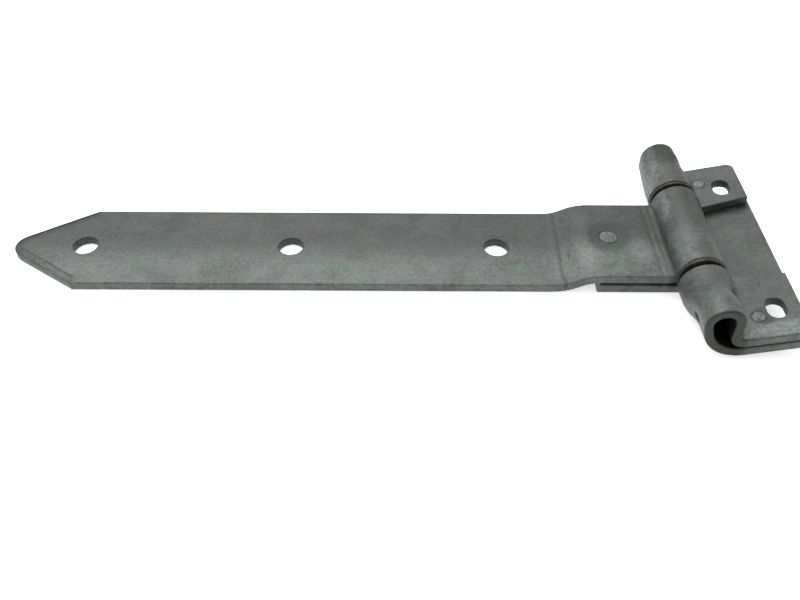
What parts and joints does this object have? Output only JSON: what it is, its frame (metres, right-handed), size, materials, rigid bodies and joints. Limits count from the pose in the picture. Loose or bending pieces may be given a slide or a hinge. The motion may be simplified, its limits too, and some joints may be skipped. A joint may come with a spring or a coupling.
{
  "type": "t hinge",
  "caption": "Heavy galvanised T hinge: a long pointed strap rolled round a captive pin, and a short folded leaf with squeezed knuckles.",
  "frame": {"origin": "centre of the strap's middle bolt hole, on the strap's back face", "axes": "+X along the strap towards the pin and the leaf, +Y along the pin, +Z out of the strap's front face"},
  "size_m": [0.2743, 0.0917, 0.022],
  "materials": {
    "galvanised_strap": "hot-dip galvanised, satin, mottled",
    "galvanised_leaf": "hot-dip galvanised, satin, mottled",
    "galvanised_rivet": "galvanised, smooth",
    "pin_steel": "zinc-plated round bar, satin",
    "washer_brass": "dull, tarnished"
  },
  "bodies": {
    "strap_body": {"strap": "galvanised_strap", "strap_rivet": "galvanised_rivet", "washer_near": "washer_brass"},
    "leaf_body": {"frame_leaf": "galvanised_leaf", "hinge_pin": "pin_steel", "washer_far": "washer_brass", "tab_rivet_far": "galvanised_rivet", "tab_rivet_near": "galvanised_rivet"}
  },
  "joints": [
    {"name": "pin_pivot", "type": "hinge", "parent": "strap_body", "child": "leaf_body", "pos_m": [0.144, 0, 0.00855], "axis": [0, 1, 0], "range_deg": [-171, 112]}
  ]
}
